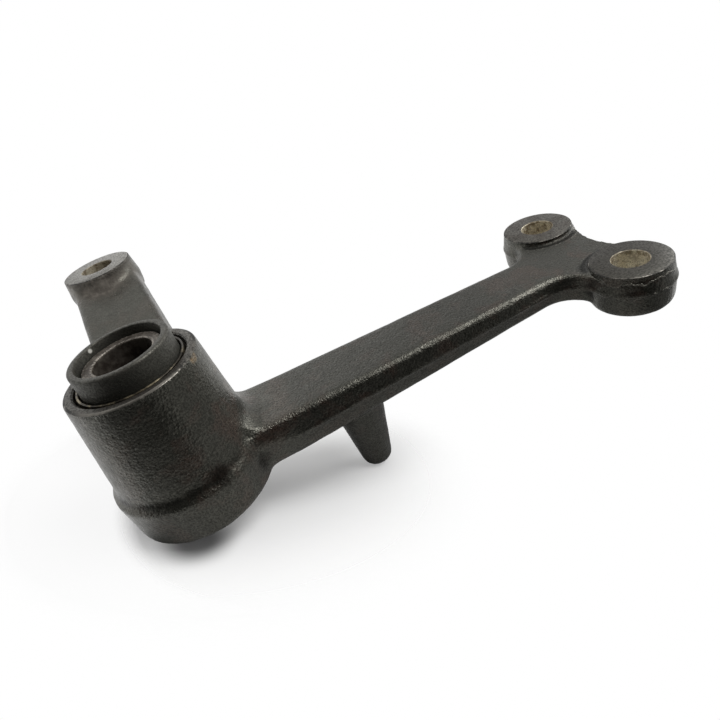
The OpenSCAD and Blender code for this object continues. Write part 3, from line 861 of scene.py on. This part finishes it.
stage = dict(up=(0.3362, 0.0492, 0.9405), floorHeight=-24.6 * mm, floorSpot=(0.035, 0.0, 0.0), floorReach=2.0,
             floorFront=0.165, floorColor=(0.97, 0.97, 0.965), floorRough=0.9,
             shadowSpot=(-0.016, 0.01), shadowReach=(0.112, 0.088), shadowFade=(0.4, 1.1, 0.19, 1.0),
             footSpot=(-0.025, -0.0355), footReach=(20 * mm, 18 * mm), footFade=(0.25, 1.0, 0.2, 1.0),
             footShadowColor=(0.0, 0.0, 0.0), whiteSpot=(0.008, 0.012), whiteReach=(1.0, 1.0),
             whiteEdge=(0.067, 0.083, 0.0, 0.9), mirrorMid=(0.58, 0.58, 0.575),
             mirrorRight=(0.40, 0.40, 0.395), mirrorFar=(0.15, 0.15, 0.148), mirrorLeft=(0.98, 0.98, 0.97),
             rightEdge=(0.03, 0.15), farEdge=(0.17, 0.26), litLeft=(-0.062, -0.034, 1.0, 0.0),
             litBack=(0.1, 0.18), frontClear=(-0.105, -0.065, 1.0, 0.0), frontSide=(0.0, 0.07, 0.7, 1.0),
             leftClear=(-0.061, -0.039, 0.9, 0.0))
camera = dict(place=(39.6 * mm, -203.16 * mm, 142.99 * mm), aim=(88.93 * mm, 9.69 * mm, 0.0), lens=26.85,
              nearest=0.01)
studio = dict(key=dict(size=0.5, height=0.95, side=0.35, back=-0.1, power=5.6),
              rim=dict(size=0.36, height=0.74, side=0.72, back=0.52, power=2.0), fill=0.78,
              openings=dict(front=((0.0, -1.0, 0.0), (0.3, 0.65, 1.0, 0.035)),  # (side, back, up) and a ramp
                            gap=((0.25, 0.65, 0.72), (0.72, 0.97, 1.0, 0.5)),
                            hood=((-0.3, -0.62, 0.72), (0.72, 0.93, 1.0, 0.06)),
                            wing=((1.0, -0.05, 0.12), (0.82, 0.97, 1.0, 0.3))))
upward = Vector(stage["up"]).normalized()
lookAlong = (Vector(camera["aim"]) - Vector(camera["place"])).normalized()
backward = (lookAlong - upward * lookAlong.dot(upward)).normalized()  # along the floor, away from the camera
sideways = backward.cross(upward)
spot = Vector(stage["floorSpot"])
floorCentre = spot + upward * (stage["floorHeight"] - spot.dot(upward))


def ovalGap(tree, place, centre, reach):  # 0 at the centre of an oval on the floor, 1 on its rim
    away = tree.nodes.new("ShaderNodeVectorMath")
    away.operation = "LENGTH"
    scale = (1 / reach[0], 1 / reach[1], 0)
    oval = stretched(tree, place, scale, (-centre[0] * scale[0], -centre[1] * scale[1], 0))
    tree.links.new(oval, away.inputs[0])
    return away.outputs["Value"]


def floorFinish():  # one look for the camera, another where the part mirrors the floor
    finish, tree, shader, place = newFinish("paleFloor")
    path, along = tree.nodes.new("ShaderNodeLightPath").outputs, axes(tree, place)
    # the floor as the part mirrors it: painted darker towards the right, painted lighter on the left and far
    # behind
    right = ramp(tree, along["X"], *stage["rightEdge"])
    color = blendColor(tree, right, stage["mirrorMid"], stage["mirrorRight"])
    color = blendColor(tree, ramp(tree, along["X"], *stage["farEdge"]), color, stage["mirrorFar"])
    lit = ramp(tree, along["X"], *stage["litLeft"])
    lit = sums(tree, "MAXIMUM", lit, ramp(tree, along["Y"], *stage["litBack"]))
    color = blendColor(tree, lit, color, stage["mirrorLeft"])
    # painted shadow at the drum's foot, for the camera
    foot = ramp(tree, ovalGap(tree, place, stage["footSpot"], stage["footReach"]), *stage["footFade"])
    pale = blendColor(tree, foot, stage["footShadowColor"], stage["floorColor"])
    color = blendColor(tree, path["Is Camera Ray"], color, pale)
    tree.links.new(color, shader.inputs["Base Color"])
    shader.inputs["Roughness"].default_value = stage["floorRough"]
    shader.inputs["Specular IOR Level"].default_value = 0.0
    sides = tree.nodes.new("ShaderNodeNewGeometry").outputs["Backfacing"]
    fade = ramp(tree, ovalGap(tree, place, stage["shadowSpot"], stage["shadowReach"]), *stage["shadowFade"])
    white = ramp(tree, ovalGap(tree, place, stage["whiteSpot"], stage["whiteReach"]), *stage["whiteEdge"])
    fade = sums(tree, "MULTIPLY", sums(tree, "MAXIMUM", fade, white), foot)
    near = ramp(tree, along["Y"], *stage["frontClear"])
    near = sums(tree, "MULTIPLY", near, ramp(tree, along["X"], *stage["frontSide"]))
    near = sums(tree, "MAXIMUM", near, ramp(tree, along["X"], *stage["leftClear"]))
    clear = sums(tree, "MULTIPLY", sums(tree, "MAXIMUM", fade, sides), path["Is Camera Ray"])
    clear = sums(tree, "MAXIMUM", clear, sums(tree, "MULTIPLY", near, path["Is Glossy Ray"]))
    glass, mix = tree.nodes.new("ShaderNodeBsdfTransparent"), tree.nodes.new("ShaderNodeMixShader")
    tree.links.new(clear, mix.inputs["Fac"])
    tree.links.new(shader.outputs["BSDF"], mix.inputs[1])
    tree.links.new(glass.outputs["BSDF"], mix.inputs[2])
    tree.links.new(mix.outputs["Shader"], tree.nodes["Material Output"].inputs["Surface"])
    return finish


def addFloor():
    mesh = bpy.data.meshes.new("floor")
    reach, front = stage["floorReach"], stage["floorFront"]
    corners = [(-reach, -front, 0), (reach, -front, 0), (reach, reach, 0), (-reach, reach, 0)]
    mesh.from_pydata(corners, [], [(0, 1, 2, 3)])
    floor = addPiece("floor", mesh)
    mesh.materials.append(floorFinish())
    lay = Matrix((sideways, backward, upward)).transposed()
    floor.matrix_world = Matrix.Translation(floorCentre) @ lay.to_4x4()


def addLamp(name, lit):  # square softbox aimed at the part
    lamp = bpy.data.lights.new(name, "AREA")
    lamp.size, lamp.energy = lit["size"], lit["power"]
    light = bpy.data.objects.new(name, lamp)
    scene.collection.objects.link(light)
    place = floorCentre + upward * lit["height"] + sideways * lit["side"] + backward * lit["back"]
    look = (floorCentre - place).normalized()
    across = look.cross(backward).normalized()
    turn = Matrix((across, across.cross(look), -look)).transposed()
    light.matrix_world = Matrix.Translation(place) @ turn.to_4x4()


def addWorld():  # white surround with dark openings
    world = bpy.data.worlds.new("studio")
    scene.world = world
    world.use_nodes = True
    tree = world.node_tree
    heading = tree.nodes.new("ShaderNodeTexCoord").outputs["Generated"]

    def opening(towards, shade):
        side, back, high = towards
        facing = tree.nodes.new("ShaderNodeVectorMath")
        facing.operation = "DOT_PRODUCT"
        facing.inputs[1].default_value = (sideways * side + backward * back + upward * high).normalized()
        tree.links.new(heading, facing.inputs[0])
        return ramp(tree, facing.outputs["Value"], *shade)

    tent, *others = [opening(*settings) for settings in studio["openings"].values()]
    for dark in others:
        tent = sums(tree, "MULTIPLY", tent, dark)
    path = tree.nodes.new("ShaderNodeLightPath")
    mirrored = sums(tree, "MAXIMUM", path.outputs["Is Glossy Ray"], path.outputs["Is Transmission Ray"])
    level = sums(tree, "ADD", sums(tree, "MULTIPLY", mirrored, 1 - studio["fill"]), studio["fill"])
    level = sums(tree, "MAXIMUM", sums(tree, "MULTIPLY", level, tent), path.outputs["Is Camera Ray"])
    white = tree.nodes["Background"]
    white.inputs["Color"].default_value = (1, 1, 1, 1)
    tree.links.new(level, white.inputs["Strength"])


def addCamera():
    eye = bpy.data.cameras.new("camera")
    eye.lens = camera["lens"]
    eye.clip_start = camera["nearest"]
    holder = bpy.data.objects.new("camera", eye)
    scene.collection.objects.link(holder)
    turn = Matrix((sideways, sideways.cross(lookAlong), -lookAlong)).transposed()
    holder.matrix_world = Matrix.Translation(camera["place"]) @ turn.to_4x4()
    scene.camera = holder


addFloor()
for name in ("key", "rim"):
    addLamp(name, studio[name])
addWorld()
addCamera()
scene.view_settings.view_transform = "Standard"
print("stage: floor, softboxes, white surround, camera")
